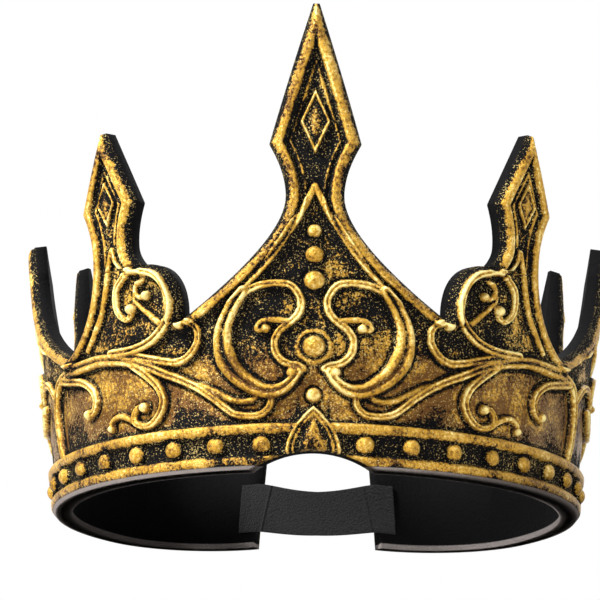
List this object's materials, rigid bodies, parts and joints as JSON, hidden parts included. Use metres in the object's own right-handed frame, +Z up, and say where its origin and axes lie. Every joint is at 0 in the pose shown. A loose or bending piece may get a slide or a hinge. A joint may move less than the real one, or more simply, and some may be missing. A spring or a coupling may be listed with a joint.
{
  "type": "costume crown",
  "caption": "Open-backed king's crown moulded in soft foam with raised scrollwork and tall spikes, closed at the back by a short elastic strap.",
  "frame": {"origin": "centre of the front arc of the wall, in the plane of the bottom edge", "axes": "+Z up, -Y towards the front spike, X across the head"},
  "size_m": [0.222, 0.1969, 0.1559],
  "materials": {
    "painted_foam": "black foam, dry-brushed in antique gold",
    "elastic_webbing": "black looped elastic webbing"
  },
  "bodies": {
    "root": {"foam_crown": "painted_foam", "elastic_strap": "elastic_webbing"}
  },
  "joints": []
}
